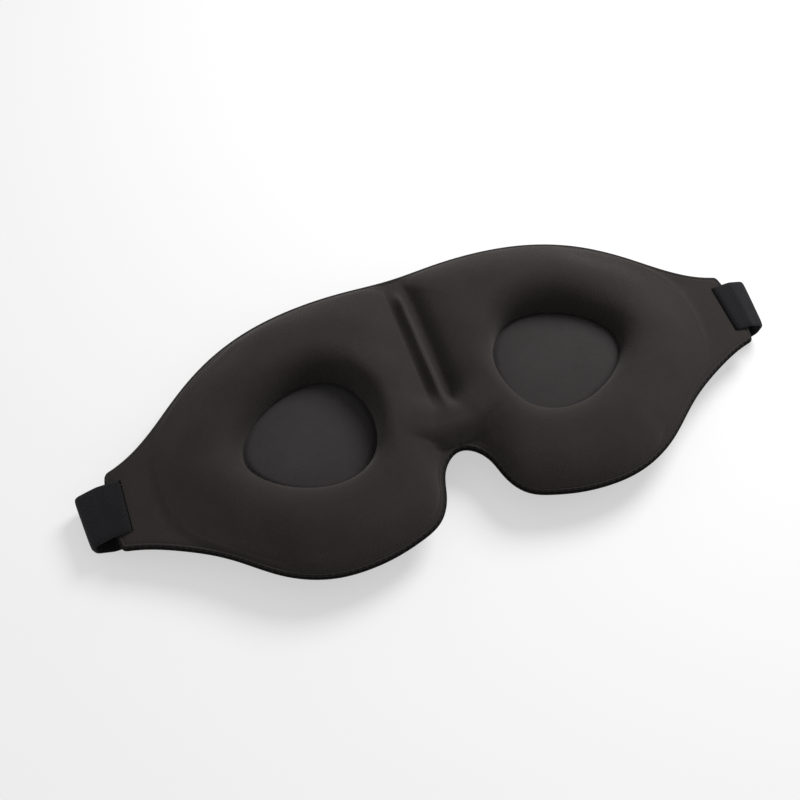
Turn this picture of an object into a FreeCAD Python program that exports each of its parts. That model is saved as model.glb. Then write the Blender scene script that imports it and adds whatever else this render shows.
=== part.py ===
"""Contoured sleep eye mask: two soft eye pads round egg-shaped cups, on a moulded foam shell, with an
adjustable strap folded flat underneath.

Millimetres. +X runs along the mask, +Y to the brow edge and +Z out of the side that meets the face. The
origin lies under the middle of the mask, on the surface that the strap slider rests on.
"""

import FreeCAD, Part
import math
import os

from FreeCAD import Vector

# --- Contour of the mask, seen from the face side ---------------------------------------------------------
pad_reach = 93.0            # from the middle to where a pad's half of the contour turns into the tab
brow_height = 50.5          # highest point of the brow edge above the strap's centre line
cheek_depth = 45.5          # lowest point of the cheek lobes below it
notch_depth = 18.7          # top of the nose notch below it
tab_length = 16.0           # strap tab beyond pad_reach
tab_width = 28.0
tab_corner = 2.5            # rounding of the tab's two corners
tab_droop = 2.9             # how far the tab's end hangs below the flat middle
droop_start = 60.0          # distance from the middle where that hang begins
# The rest of the contour: shares of pad_reach, and of brow_height or cheek_depth
BROW_SHAPE = [(0.00, 0.984), (0.185, 1.0), (0.366, 0.992), (0.55, 0.931), (0.72, 0.802), (0.87, 0.612),
              (1.016, 0.392)]
CHEEK_SHAPE = [(1.0, -0.424), (0.84, -0.617), (0.695, -0.848), (0.524, -0.987), (0.428, -1.0),
               (0.333, -0.982), (0.237, -0.934), (0.155, -0.855), (0.105, -0.70), (0.072, -0.51)]

# --- Sheet layers ------------------------------------------------------------------------------------------
cover_thickness = 0.6       # outer knit
shell_thickness = 1.8       # moulded foam sheet
panel_thickness = 0.6       # flat lining on the face side
bond_gap = 0.15             # glue line between a pad or cup floor and what it lies on
seam_gap = 0.35             # between a pad's foot and the lining or bridge sewn up to it
binding_width = 1.2         # edge band round the contour
binding_height = 2.4

# --- Eye cups and pads -------------------------------------------------------------------------------------
cup_spacing = 88.0          # between the centres of the two cup floors
cup_centre_y = 3.0
cup_length = 44.0           # egg-shaped floor, along X
cup_width = 37.6
cup_lean = 0.22             # how much the egg narrows towards the temple
cup_floor_thickness = 2.4   # knit on a thin foam disc
dome_depth = 6.4            # bulge of the shell away from the face under each cup
dome_shift = 2.0            # dome centre beyond the cup centre, towards the temple
dome_length = 76.0
dome_width = 72.0
dome_flat_share = 0.62      # share of the dome's radius that is flat
pad_skin = 0.8              # knit cover of a pad
pad_crest_height = 8.5      # above the flat lining
pad_crest_share = 0.42      # crest position, from the cup floor's edge to the pad's foot
pad_crest_reach = 9.5       # but no further than this from the floor's edge
pad_bridge_crest_reach = 6.5  # and this beside the bridge
pad_bridge_softness = 0.8   # 0 for a flank with a rounded foot, 1 for one that runs out softly
pad_temple_softness = 0.6
pad_temple_drop = 3.0       # lower crest on the temple side
pad_rim_margin = 2.0        # flat rim between a pad's foot and the edge band
pad_foot_radius = 45.3      # round foot beside the tab
pad_foot_centre_x = 47.0
pad_foot_blend = 0.5        # share of a full sideways direction over which that round takes over
pad_foot_height = 1.2       # skin height at the pad's foot

# --- Bridge over the nose ----------------------------------------------------------------------------------
bridge_width = 6.0
bridge_rise = 4.2           # above the flat lining
saddle_rise = 2.6           # further rise just above the notch
saddle_start = 4.0          # the saddle begins here, on the strap's centre line or above it
saddle_length = 12.0
bridge_notch_run = 9.0      # length over which the bridge rounds off to the notch
bridge_brow_run = 12.0      # and to the brow edge
rim_seam = 1.7              # from the contour to where the bridge's skin comes down to the lining
bridge_margin = 3.2         # from the contour to the bridge's squared ends
bridge_skin = 0.8
ridge_rise = 1.6            # centre ridge above the bridge
ridge_width = 3.6
ridge_fade = 9.0            # length over which the ridge dies out at either end
ridge_notch_margin = 6.0    # from the notch to where the ridge begins
ridge_brow_margin = 4.0     # and from its other end to the brow edge

# --- Strap and its slots -----------------------------------------------------------------------------------
strap_width = 18.0
strap_thickness = 1.2
slot_width = 3.0
slot_side_clearance = 0.8   # beyond each edge of the strap
bar_width = 3.0             # bar of tab between the slot and the tab's end
bar_clearance = 0.4         # strap loop clear of the bar's corners
layer_gap = 0.3             # between strap layers that slide over each other
dome_clearance = 0.4        # lowest point of the domes above the strap
arm_length = 34.0           # from the tab's bar to the corner where the strap turns to the back
left_loop_reach = 12.0      # loose loop beyond the bar, left
right_loop_reach = 9.5      # tighter loop, right
loop_fall = 3.6             # height over which a loop's outer fold comes down
loop_bend = 3.0             # gentle bend of the webbing
loop_corner = 2.0           # tighter bend beside the slot
loop_top_share = 0.35       # flat top of a loop, share of its reach beyond the bar
loop_bottom_share = 0.55    # where its underside turns level, share of the same reach
arm_lead = 2.0              # level webbing under the bar, before the arm rises to its run
arm_rise = 6.0              # length of that rise
seam_length = 9.0           # sewn overlap of each tab loop
seam_lead = 3.5             # from the rise into the slot to the sewn overlap
step_length = 5.0           # length over which the webbing steps from one layer to the next
tail_overrun = 12.5         # tail that still stands beyond the slider's middle with the strap open
hem_length = 8.0            # folded end of the tail
slider_seam_length = 6.0    # sewn overlap of the loop round the slider's end bar
opening_angle = 90.0        # swing of each strap arm

# --- Strap slider ------------------------------------------------------------------------------------------
slider_centre_x = 2.0
slider_length = 15.0
slider_bar_width = 2.4
slider_bar_thickness = 1.2
slider_grip_width = 6.0
slider_rail_width = 2.2
slider_side_clearance = 0.5
slider_rounding = 1.0       # of its upright edges

# --- Thread ------------------------------------------------------------------------------------------------
stitch_length = 2.2
stitch_pitch = 3.2
stitch_width = 0.4
stitch_rise = 0.2
stitch_margin = 1.5         # from a seam's end or the strap's edge to the thread

# --- Heights that follow -----------------------------------------------------------------------------------
tail_level = slider_bar_thickness + layer_gap
upper_level = tail_level + strap_thickness + layer_gap
strap_top = upper_level + strap_thickness
sheet_stack = cover_thickness + shell_thickness + panel_thickness
dome_bottom = strap_top + dome_clearance
rim_bottom = dome_bottom + dome_depth
face_plane = rim_bottom + sheet_stack
floor_base = dome_bottom + cover_thickness + shell_thickness + bond_gap
half_length = pad_reach + tab_length
cup_x = cup_spacing / 2
bar_x = half_length - bar_width / 2
slot_x = half_length - bar_width - slot_width / 2
bridge_half = bridge_width / 2
brow_dip = brow_height * (1 - BROW_SHAPE[0][1])
corner_x = bar_x - arm_length
corner_start = strap_thickness / 2 + layer_gap
EXTENT = 1000.0             # far outside the mask, for cutting


def save(shape, node):
    """Write one piece to its own STEP file."""
    if not shape.isValid():
        print("invalid shape:", node)
    shape.exportStep("parts/" + node + ".step")
    print(node, round(shape.Volume, 1), "mm3,", len(shape.Solids), "solid(s)")


def mirrored(shape):
    """The same shape on the other side of the middle of the mask."""
    return shape.mirror(Vector(0, 0, 0), Vector(1, 0, 0))


def smooth_step(t):
    """0 below t = 0, 1 above t = 1, with no slope at either end."""
    t = min(1.0, max(0.0, t))
    return t * t * t * (t * (6 * t - 15) + 10)


# --- Surfaces of the mask ----------------------------------------------------------------------------------
def droop(x):
    """How far the sheet hangs below its flat middle at x."""
    return tab_droop * (max(0.0, abs(x) - droop_start) / (half_length - droop_start)) ** 2


def dome(x, y):
    """Depth of the bulge under a cup: full inside dome_flat_share of the ellipse, none at its edge."""
    across = (abs(x) - cup_x - dome_shift) / (dome_length / 2)
    up = (y - cup_centre_y) / (dome_width / 2)
    radius = math.hypot(across, up)
    return dome_depth * (1 - smooth_step((radius - dome_flat_share) / (1 - dome_flat_share)))


def underside(x, y):
    """Outer face of the mask, away from the wearer."""
    return rim_bottom - dome(x, y) - droop(x)


def shell_top(x, y):
    """Face side of the moulded foam sheet."""
    return underside(x, y) + cover_thickness + shell_thickness


def flat_lining(x, y):
    """Underside of the flat lining, which doesn't follow the domes."""
    return face_plane - panel_thickness - droop(x)


def sheet(height, thickness, step=3.0):
    """Slab of even upright thickness whose lower face is the surface z = height(x, y)."""
    columns = 2 * math.ceil((half_length + step) / step)
    rows = 2 * math.ceil((max(brow_height, cheek_depth) + step) / step)
    xs = [(i - columns / 2) * step for i in range(columns + 1)]
    ys = [(j - rows / 2) * step for j in range(rows + 1)]
    surface = Part.BSplineSurface()
    surface.interpolate([[Vector(x, y, height(x, y)) for y in ys] for x in xs])
    return surface.toShape().extrude(Vector(0, 0, thickness))


# --- Contour -----------------------------------------------------------------------------------------------
def contour_curve():
    """Closed smooth curve of the mask's outer edge, anticlockwise from the notch."""
    corner = half_length - tab_corner
    edge = tab_width / 2
    half = [(0.0, -notch_depth)]
    half += [(u * pad_reach, v * cheek_depth) for u, v in reversed(CHEEK_SHAPE)]
    half += [(corner, -edge), (half_length - 0.3 * tab_corner, 0.3 * tab_corner - edge)]
    half += [(half_length, tab_corner - edge), (half_length, 0.0), (half_length, edge - tab_corner)]
    half += [(half_length - 0.3 * tab_corner, edge - 0.3 * tab_corner), (corner, edge)]
    half += [(u * pad_reach, v * brow_height) for u, v in reversed(BROW_SHAPE)]
    other = [(-x, y) for x, y in reversed(half[1:-1])]
    curve = Part.BSplineCurve()
    curve.interpolate(Points=[Vector(x, y, 0) for x, y in half + other], PeriodicFlag=True)
    return curve


CONTOUR = contour_curve()


def contour_points(inset, count):
    """Points of the contour moved inwards by inset."""
    first, last = CONTOUR.FirstParameter, CONTOUR.LastParameter
    points = []
    for i in range(count):
        u = first + (last - first) * i / count
        along = CONTOUR.tangent(u)[0]
        points.append(CONTOUR.value(u) + Vector(-along.y, along.x, 0).normalize() * inset)
    return points


def closed_prism(points, low=-40.0, high=60.0, spans=12):
    """Upright prism whose outline is the smooth closed curve through the points, in a few spans."""
    curve = Part.BSplineCurve()
    curve.interpolate(Points=[Vector(p.x, p.y, low) for p in points], PeriodicFlag=True)
    first, last = curve.FirstParameter, curve.LastParameter
    cuts = [first + (last - first) * i / spans for i in range(spans + 1)]
    outline = Part.Wire([curve.toShape(a, b) for a, b in zip(cuts, cuts[1:])])
    return Part.Face(outline).extrude(Vector(0, 0, high - low))


def slot_cutters():
    """One upright block per strap slot, with round ends."""
    length = strap_width + 2 * slot_side_clearance
    box = Part.makeBox(slot_width, length, 2 * EXTENT, Vector(slot_x - slot_width / 2, -length / 2, -EXTENT))
    return Part.makeCompound([box, mirrored(box)])


# --- Pads --------------------------------------------------------------------------------------------------
def cup_point(turn, inset=0.0):
    """Point of the right cup floor's egg-shaped edge at the given turn, moved inwards by inset."""
    x = (cup_length / 2 - inset) * math.cos(turn)
    y = (cup_width / 2 - inset) * math.sin(turn) * (1 - cup_lean * math.cos(turn))
    return Vector(cup_x + x, cup_centre_y + y, 0)


def ray_to_polygon(centre, direction, polygon):
    """Distance from centre along direction to the first side of the polygon."""
    best = EXTENT
    for a, b in zip(polygon, polygon[1:] + polygon[:1]):
        side, start = b - a, a - centre
        cross = direction.x * side.y - direction.y * side.x
        if abs(cross) < 1e-12:
            continue
        reach = (start.x * side.y - start.y * side.x) / cross
        share = (start.x * direction.y - start.y * direction.x) / cross
        if reach > 0 and 0 <= share <= 1:
            best = min(best, reach)
    return best


FOOT_LIMIT = contour_points(binding_width + pad_rim_margin, 360)


def nearest(limits, sharpness=14):
    """Smooth stand-in for the smallest of several distances."""
    return sum(limit ** -sharpness for limit in limits) ** (-1 / sharpness)


def pad_foot(direction):
    """Distance from the cup's centre to the pad's foot: the rim, the bridge or the round beside the tab."""
    centre = Vector(cup_x, cup_centre_y, 0)
    limits = [ray_to_polygon(centre, direction, FOOT_LIMIT)]
    if direction.x < 0:
        limits.append((cup_x - bridge_half) / -direction.x)
    else:
        offset = cup_x - pad_foot_centre_x
        along = offset * direction.x
        round_foot = -along + math.sqrt(along ** 2 - offset ** 2 + pad_foot_radius ** 2)
        limits.append(round_foot / max(1e-6, smooth_step(direction.x / pad_foot_blend)))
    return nearest(limits)


def bridge_height(y):
    """Rise of the saddle between the pads above the flat lining, rounded off to the notch and the brow."""
    rise = bridge_rise + saddle_rise * smooth_step((saddle_start - y) / saddle_length)
    to_notch = min(1.0, max(0.0, (y + notch_depth - rim_seam) / bridge_notch_run))
    to_brow = min(1.0, max(0.0, (brow_height - brow_dip - rim_seam - y) / bridge_brow_run))
    return rise * ((1 - (1 - to_notch) ** 2.2) * (1 - (1 - to_brow) ** 2.2)) ** 0.8


def ridge_height(y):
    """Rise of the centre ridge above the bridge."""
    from_notch = smooth_step((y + notch_depth - ridge_notch_margin) / ridge_fade)
    return ridge_rise * from_notch * smooth_step((brow_height - brow_dip - ridge_brow_margin - y) / ridge_fade)


def pad_height(share, crest_share, floor, crest, foot, softness):
    """Skin height at a share of the way from the cup floor's edge to the pad's foot."""
    if share < crest_share:
        wall = 1 - share / crest_share
        return floor + (crest - floor) * math.sqrt(1 - wall ** 2.2)
    flank = (share - crest_share) / (1 - crest_share)
    rounded = (1 - flank ** 2) ** 0.8
    soft = (1 + math.cos(math.pi * flank)) / 2
    return foot + (crest - foot) * (rounded + softness * (soft - rounded))


class PadSection:
    """Upright section of the right pad through the cup's centre, towards one point of the cup's edge."""

    WALL_SHARES = (0.0, 0.03, 0.14, 0.33, 0.62)
    FLANK_SHARES = (0.0, 0.24, 0.48, 0.70, 0.88, 0.97, 1.0)

    def __init__(self, turn):
        self.centre = Vector(cup_x, cup_centre_y, 0)
        inner = cup_point(turn) - self.centre
        self.inner = inner.Length
        self.direction = inner.normalize()
        self.outer = pad_foot(self.direction)
        foot = self.centre + self.direction * self.outer
        beside_bridge = 1 - smooth_step((foot.x - bridge_half) / bridge_width)
        self.foot = face_plane + max(pad_foot_height, bridge_height(foot.y) * beside_bridge)
        self.crest = face_plane + pad_crest_height - pad_temple_drop * max(0.0, self.direction.x) ** 2
        self.floor = floor_base + cup_floor_thickness
        crest_reach = pad_crest_reach + (pad_bridge_crest_reach - pad_crest_reach) * beside_bridge
        self.crest_share = min(pad_crest_share, crest_reach / (self.outer - self.inner))
        self.softness = pad_bridge_softness * beside_bridge + pad_temple_softness * smooth_step(self.direction.x)
        self.shares = [share * self.crest_share for share in self.WALL_SHARES]
        self.shares += [self.crest_share + share * (1 - self.crest_share) for share in self.FLANK_SHARES]

    def at(self, radius, height, hang=True):
        point = self.centre + self.direction * radius
        return Vector(point.x, point.y, height - (droop(point.x) if hang else 0))

    def skin(self, inset):
        """Points of the pad's surface, or of the surface a skin thickness further in, from the shell up."""
        points = [self.base(self.inner + inset)] if inset else [self.at(self.inner, self.floor)]
        for share in self.shares[1:]:
            radius = self.inner + inset + share * (self.outer - self.inner - 2 * inset)
            height = pad_height(share, self.crest_share, self.floor, self.crest, self.foot, self.softness)
            points.append(self.at(radius, height - inset))
        return points

    def base(self, radius):
        point = self.centre + self.direction * radius
        return Vector(point.x, point.y, shell_top(point.x, point.y) + bond_gap)

    def foam_wire(self):
        """Section of the foam, a glue line inside the skin and closed along the shell."""
        inset = pad_skin + bond_gap
        top = self.skin(inset)
        inner, outer = self.inner + inset, self.outer - inset
        count = 14
        bottom = [self.base(outer - (outer - inner) * i / count) for i in range(count + 1)]
        return Part.Wire([spline(top), Part.makeLine(top[-1], bottom[0]), spline(bottom)])

    def cover_wire(self):
        """Section of the skin: outer and inner lines joined at the cup floor and at the foot."""
        outside, inside = self.skin(0), self.skin(pad_skin)
        toe = [outside[-1], self.base(self.outer), self.base(self.outer - pad_skin), inside[-1]]
        heel = [inside[0], self.base(self.inner), outside[0]]
        return Part.Wire([spline(outside), *lines(toe), spline(inside[::-1]), *lines(heel)])


def lines(corners):
    """Straight edges from each corner to the next."""
    return [Part.makeLine(a, b) for a, b in zip(corners, corners[1:])]


def spline(points):
    """Smooth edge through the points."""
    curve = Part.BSplineCurve()
    curve.interpolate(points)
    return curve.toShape()


def pad_sections(count=40):
    """Sections spread round the cup."""
    return [PadSection(2 * math.pi * i / count) for i in range(count)]


def ring(wire_at):
    """Closed ring lofted through the sections round the cup."""
    return Part.makeLoft([wire_at(section) for section in pad_sections()], True, False, True)


# --- Strap -------------------------------------------------------------------------------------------------
def ribbon(corners, thickness=strap_thickness, width=strap_width):
    """Band of even thickness along a path in the XZ plane: straight runs joined by tangent arcs.

    corners holds (x, z, radius) for each corner of the centre line; the two ends have radius 0.
    """
    sides = {1: [], -1: []}
    path = [Vector(x, 0, z) for x, z, _ in corners]
    start = {side: offset_point(path[0], path[1], path[0], side * thickness / 2) for side in sides}
    ends = dict(start)
    for before, here, after, (_, _, radius) in zip(path, path[1:], path[2:], corners[1:]):
        into, out = (here - before).normalize(), (after - here).normalize()
        turn = math.atan2(into.x * out.z - into.z * out.x, into.dot(out))
        back = radius * math.tan(abs(turn) / 2)
        first, last = here - into * back, here + out * back
        bend = 1 if turn > 0 else -1
        centre = first + Vector(-into.z, 0, into.x) * (radius * bend)
        middle = (here - centre).normalize()
        for side in sides:
            reach = radius - side * bend * thickness / 2
            a = centre + (first - centre).normalize() * reach
            b = centre + (last - centre).normalize() * reach
            sides[side] += [Part.makeLine(ends[side], a), Part.Arc(a, centre + middle * reach, b).toShape()]
            ends[side] = b
    for side in sides:
        finish = offset_point(path[-2], path[-1], path[-1], side * thickness / 2)
        sides[side].append(Part.makeLine(ends[side], finish))
        ends[side] = finish
    caps = [Part.makeLine(start[1], start[-1]), Part.makeLine(ends[1], ends[-1])]
    wire = Part.Wire(Part.__sortEdges__(sides[1] + sides[-1] + caps))
    band = Part.Face(wire).extrude(Vector(0, width, 0))
    band.translate(Vector(0, -width / 2, 0))
    return band


def offset_point(start, end, at, distance):
    """The point at, moved sideways from the line start to end within the XZ plane."""
    along = (end - start).normalize()
    return at + Vector(-along.z, 0, along.x) * distance


def bar_height():
    return face_plane - sheet_stack / 2 - droop(bar_x)


def loop_path(reach):
    """Centre line of a right tab loop: sewn end, up the slot, over the bar and round to below it."""
    half = strap_thickness / 2
    turn = math.hypot(bar_width, sheet_stack) / 2 + bar_clearance + half
    bar_z = bar_height()
    seam = upper_level + strap_thickness + half
    lift = bar_x - turn
    over = bar_z + turn
    return [(lift - seam_lead - seam_length, seam, 0), (lift - loop_bend, seam, loop_corner),
            (lift, seam + loop_bend, loop_corner), (lift, over, turn),
            (bar_x + loop_top_share * reach, over, loop_bend),
            (bar_x + reach, over - loop_fall, loop_bend), (bar_x + reach - half, half + loop_bend, loop_corner),
            (bar_x + loop_bottom_share * reach, half, loop_bend), (bar_x, half, 0)]


def strap_arm(reach):
    """Right arm of the strap: tab loop, stretch in to the corner and a rounded end there."""
    half = strap_thickness / 2
    lower = upper_level + half
    run = ribbon([(bar_x, half, 0), (bar_x - arm_lead, half, loop_bend),
                  (bar_x - arm_lead - arm_rise, lower, loop_bend), (corner_x, lower, 0)])
    knuckle = Part.makeCylinder(half, strap_width, Vector(corner_x, -strap_width / 2, lower), Vector(0, 1, 0))
    return ribbon(loop_path(reach)).multiFuse([run, knuckle]).removeSplitter()


def left_rear():
    """Left half of the strap's back stretch, sewn round the slider's end bar."""
    half = strap_thickness / 2
    lower = upper_level + half
    bar_end = slider_centre_x - slider_length / 2 + slider_bar_width
    upper = upper_level + 3 * half + 2 * layer_gap + slider_bar_thickness
    radius = (upper - lower) / 2
    turn_x = bar_end + layer_gap + half
    seam = lower + strap_thickness
    bar_start = bar_end - slider_bar_width
    run = ribbon([(-corner_x + corner_start, lower, 0), (bar_start, lower, 0)])
    loop = ribbon([(bar_start, lower, 0), (turn_x + radius, lower, radius - 0.01),
                   (turn_x + radius, upper, radius - 0.01), (bar_start - 1.0, upper, 1.5),
                   (slider_seam_start(), seam, 1.5), (slider_seam_start() - slider_seam_length, seam, 0)])
    return run.fuse(loop).removeSplitter()


def slider_seam_start():
    """Where the strap that turns round the slider's end bar has come down on itself, to be sewn."""
    return slider_centre_x - slider_length / 2 - step_length


def right_rear():
    """Right half of the back stretch: steps down, passes the slider and ends in a folded hem."""
    half = strap_thickness / 2
    lower = upper_level + half
    tail = tail_level + half
    end = tail_end()
    band = ribbon([(corner_x - corner_start, lower, 0), (corner_x - loop_bend, lower, loop_bend),
                   (corner_x - loop_bend - step_length, tail, loop_bend), (end, tail, 0)])
    hem = Part.makeBox(hem_length, strap_width, strap_thickness,
                       Vector(end, -strap_width / 2, tail_level - strap_thickness))
    return band.fuse(hem).removeSplitter()


def tail_end():
    """Where the tail ends at rest, so that it still stands beyond the slider with the strap open."""
    off = bar_height() - upper_level - strap_thickness / 2
    open_corner = bar_x + off
    open_slider = -open_corner + slider_centre_x + corner_x
    length = open_corner - open_slider + tail_overrun
    return corner_x - length


def slider():
    """Three-bar adjuster: end bars above the sliding strap, grip bar below it, joined by side rails."""
    inner = strap_width / 2 + slider_side_clearance
    width = 2 * (inner + slider_rail_width)
    start = slider_centre_x - slider_length / 2
    upper_bar = upper_level + strap_thickness + layer_gap
    bars = [(start, upper_bar, slider_bar_width),
            (slider_centre_x - slider_grip_width / 2, 0.0, slider_grip_width),
            (start + slider_length - slider_bar_width, upper_level, slider_bar_width)]
    pieces = [Part.makeBox(length, width, slider_bar_thickness, Vector(x, -width / 2, z))
              for x, z, length in bars]
    height = upper_bar + slider_bar_thickness
    for y in (-width / 2, inner):
        pieces.append(Part.makeBox(slider_length, slider_rail_width, height, Vector(start, y, 0)))
    body = pieces[0].multiFuse(pieces[1:]).removeSplitter()
    upright = [e for e in body.Edges if e.Length > height - 0.1 and abs(e.tangentAt(0).z) > 0.99]
    return body.makeFillet(slider_rounding, upright)


def stitches(first_x, last_x, face, rise):
    """Two rows of thread across the strap, on its face at the height face, standing out by rise."""
    count = int((strap_width - 2 * stitch_margin) / stitch_pitch)
    thread = []
    for x in (first_x, last_x):
        for i in range(count):
            y = (i - (count - 1) / 2) * stitch_pitch - stitch_length / 2
            thread.append(Part.makeBox(stitch_width, stitch_length, abs(rise),
                                       Vector(x - stitch_width / 2, y, min(face, face + rise))))
    return Part.makeCompound(thread)


def loop_stitches():
    """Thread of the right tab loop, on the sewn end above the arm."""
    end = loop_path(right_loop_reach)[0][0]
    return stitches(end + stitch_margin, end + seam_length - stitch_margin, strap_top + strap_thickness,
                    stitch_rise)


def slider_stitches():
    """Thread that closes the strap round the slider's end bar."""
    end = slider_seam_start() - slider_seam_length
    return stitches(end + stitch_margin, end + slider_seam_length - stitch_margin,
                    strap_top + strap_thickness, stitch_rise)


def hem_stitches():
    """Thread of the tail's hem, on its folded side."""
    end = tail_end()
    return stitches(end + stitch_margin, end + hem_length - stitch_margin, tail_level - strap_thickness,
                    -stitch_rise)


# --- Bridge ------------------------------------------------------------------------------------------------
def bridge_section(y, low, extra, half, ridge):
    """Upright arch across the bridge at y, with a share of the centre ridge on it."""
    top = face_plane + bridge_height(y) + extra
    rise = ridge * ridge_height(y)
    points = [Vector(half * s, y, top + rise * math.exp(-(half * s * 2 / ridge_width) ** 2))
              for s in (-1, -0.7, -0.4, -0.2, 0, 0.2, 0.4, 0.7, 1)]
    left, right = Vector(-half, y, low), Vector(half, y, low)
    return Part.Wire([spline(points), Part.makeLine(points[-1], right), Part.makeLine(right, left),
                      Part.makeLine(left, points[0])])


def bridge(low, extra, ridge):
    """Strip lofted along the bridge between the brow edge and the nose notch."""
    first = -notch_depth + bridge_margin
    last = brow_height - brow_dip - bridge_margin
    half = bridge_half - seam_gap
    count = 14
    ys = [first + (last - first) * i / count for i in range(count + 1)]
    return Part.makeLoft([bridge_section(y, low(y), extra, half, ridge) for y in ys], True, False)


def main():
    os.makedirs("parts", exist_ok=True)
    inside = closed_prism(contour_points(binding_width, 80))
    slots = slot_cutters()

    save(sheet(underside, cover_thickness).common(inside).cut(slots), "outer_cover")
    save(sheet(lambda x, y: underside(x, y) + cover_thickness, shell_thickness).common(inside).cut(slots),
         "front_foam_shell")

    pad_area = closed_prism([s.at(s.outer + seam_gap, 0, hang=False) for s in pad_sections()])
    lining = sheet(flat_lining, panel_thickness, 10.0).common(inside).cut(slots)
    save(lining.cut(Part.makeCompound([pad_area, mirrored(pad_area)])), "face_panel")

    binding_low = face_plane - (sheet_stack + binding_height) / 2
    band = sheet(lambda x, y: binding_low - droop(x), binding_height, 10.0)
    outside = closed_prism(contour_points(0, 80))
    save(band.common(outside.cut(inside)), "edge_binding")

    foam, cover = ring(PadSection.foam_wire), ring(PadSection.cover_wire)
    count = 24
    floor_edge = [cup_point(2 * math.pi * i / count, bond_gap) for i in range(count)]
    floor = closed_prism(floor_edge, floor_base, floor_base + cup_floor_thickness)
    for shape, name in ((foam, "eye_pad_foam"), (cover, "pad_cover"), (floor, "cup_floor")):
        save(shape, name + "_right")
        save(mirrored(shape), name + "_left")

    save(bridge(lambda y: face_plane, -bridge_skin, 0.0), "nose_bridge_foam")
    save(bridge(lambda y: face_plane + bridge_height(y) - bridge_skin, 0.0, 1.0), "nose_bridge_cover")

    save(strap_arm(right_loop_reach), "strap_right_arm")
    save(mirrored(strap_arm(left_loop_reach)), "strap_left_arm")
    save(right_rear(), "strap_right_rear")
    save(left_rear(), "strap_left_rear")
    save(slider(), "strap_slider")
    save(loop_stitches(), "strap_right_stitches")
    save(mirrored(loop_stitches()), "strap_left_stitches")
    save(slider_stitches(), "slider_stitches")
    save(hem_stitches(), "hem_stitches")


main()
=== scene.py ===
"""Charcoal contoured sleep eye mask, lying face side up on its folded strap."""

import math

import bmesh
import bpy
import numpy as np
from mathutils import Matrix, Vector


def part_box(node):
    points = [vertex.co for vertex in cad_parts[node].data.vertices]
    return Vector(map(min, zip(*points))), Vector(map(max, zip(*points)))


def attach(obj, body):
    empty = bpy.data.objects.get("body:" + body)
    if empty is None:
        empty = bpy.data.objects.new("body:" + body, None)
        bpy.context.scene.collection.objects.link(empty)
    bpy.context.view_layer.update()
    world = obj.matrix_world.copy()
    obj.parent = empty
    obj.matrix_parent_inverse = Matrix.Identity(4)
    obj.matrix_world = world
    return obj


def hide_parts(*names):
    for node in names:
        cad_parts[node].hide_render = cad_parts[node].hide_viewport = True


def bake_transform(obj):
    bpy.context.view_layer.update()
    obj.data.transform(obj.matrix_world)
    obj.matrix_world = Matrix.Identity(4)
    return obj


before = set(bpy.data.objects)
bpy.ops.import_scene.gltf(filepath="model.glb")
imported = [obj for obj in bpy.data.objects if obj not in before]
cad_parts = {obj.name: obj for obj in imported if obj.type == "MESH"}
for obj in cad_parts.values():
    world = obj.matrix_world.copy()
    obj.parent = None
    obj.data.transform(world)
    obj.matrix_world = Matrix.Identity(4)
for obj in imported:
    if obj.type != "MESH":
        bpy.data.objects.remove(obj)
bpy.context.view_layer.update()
MM = 0.001


# --- Camera ------------------------------------------------------------------------------------------------
# Looks down on the mask from the cheek side and a little from its left, about a third of a metre away.
view_azimuth, view_elevation = math.radians(-20.0), math.radians(63.46)
view_distance = 0.3223
aim = np.array([-12.25, 4.29, 14.0]) * MM
towards_camera = np.array([math.sin(view_azimuth) * math.cos(view_elevation),
                           -math.cos(view_azimuth) * math.cos(view_elevation),
                           math.sin(view_elevation)])
camera_data = bpy.data.cameras.new("camera")
camera_data.sensor_width = 36.0
camera_data.lens = 44.55
camera = bpy.data.objects.new("camera", camera_data)
camera.location = aim + view_distance * towards_camera
camera.rotation_euler = (math.pi / 2 - view_elevation, 0.0, view_azimuth)
bpy.context.collection.objects.link(camera)
bpy.context.scene.camera = camera


# --- Lining and pads ---------------------------------------------------------------------------------------
# One soft charcoal knit, moulded hot over two raised foam rings. It drops steeply to each cup floor, rolls
# over to the rim, meets in a valley with a ridge above the nose, and runs out flat over the tabs.

# Contour that the lining, the outer cover and the edge band all follow: the brow line outwards from the
# middle and the cheek line back in, as shares of the pads' reach and of the height above and below.
band_low, band_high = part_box("edge_binding")
half_length, brow_height, cheek_depth = band_high[0], band_high[1], -band_low[1]
tab_length, tab_half_width, tab_corner = 16.0 * MM, 14.0 * MM, 2.5 * MM
pad_reach, notch_depth = half_length - tab_length, 18.7 * MM
BROW_SHAPE = [(0.00, 0.984), (0.185, 1.0), (0.366, 0.992), (0.55, 0.931), (0.72, 0.802), (0.87, 0.612),
              (1.016, 0.392)]
CHEEK_SHAPE = [(1.0, -0.424), (0.84, -0.617), (0.695, -0.848), (0.524, -0.987), (0.428, -1.0),
               (0.333, -0.982), (0.237, -0.934), (0.155, -0.855), (0.105, -0.70), (0.072, -0.51)]
middle_brow = BROW_SHAPE[0][1] * brow_height


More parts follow.
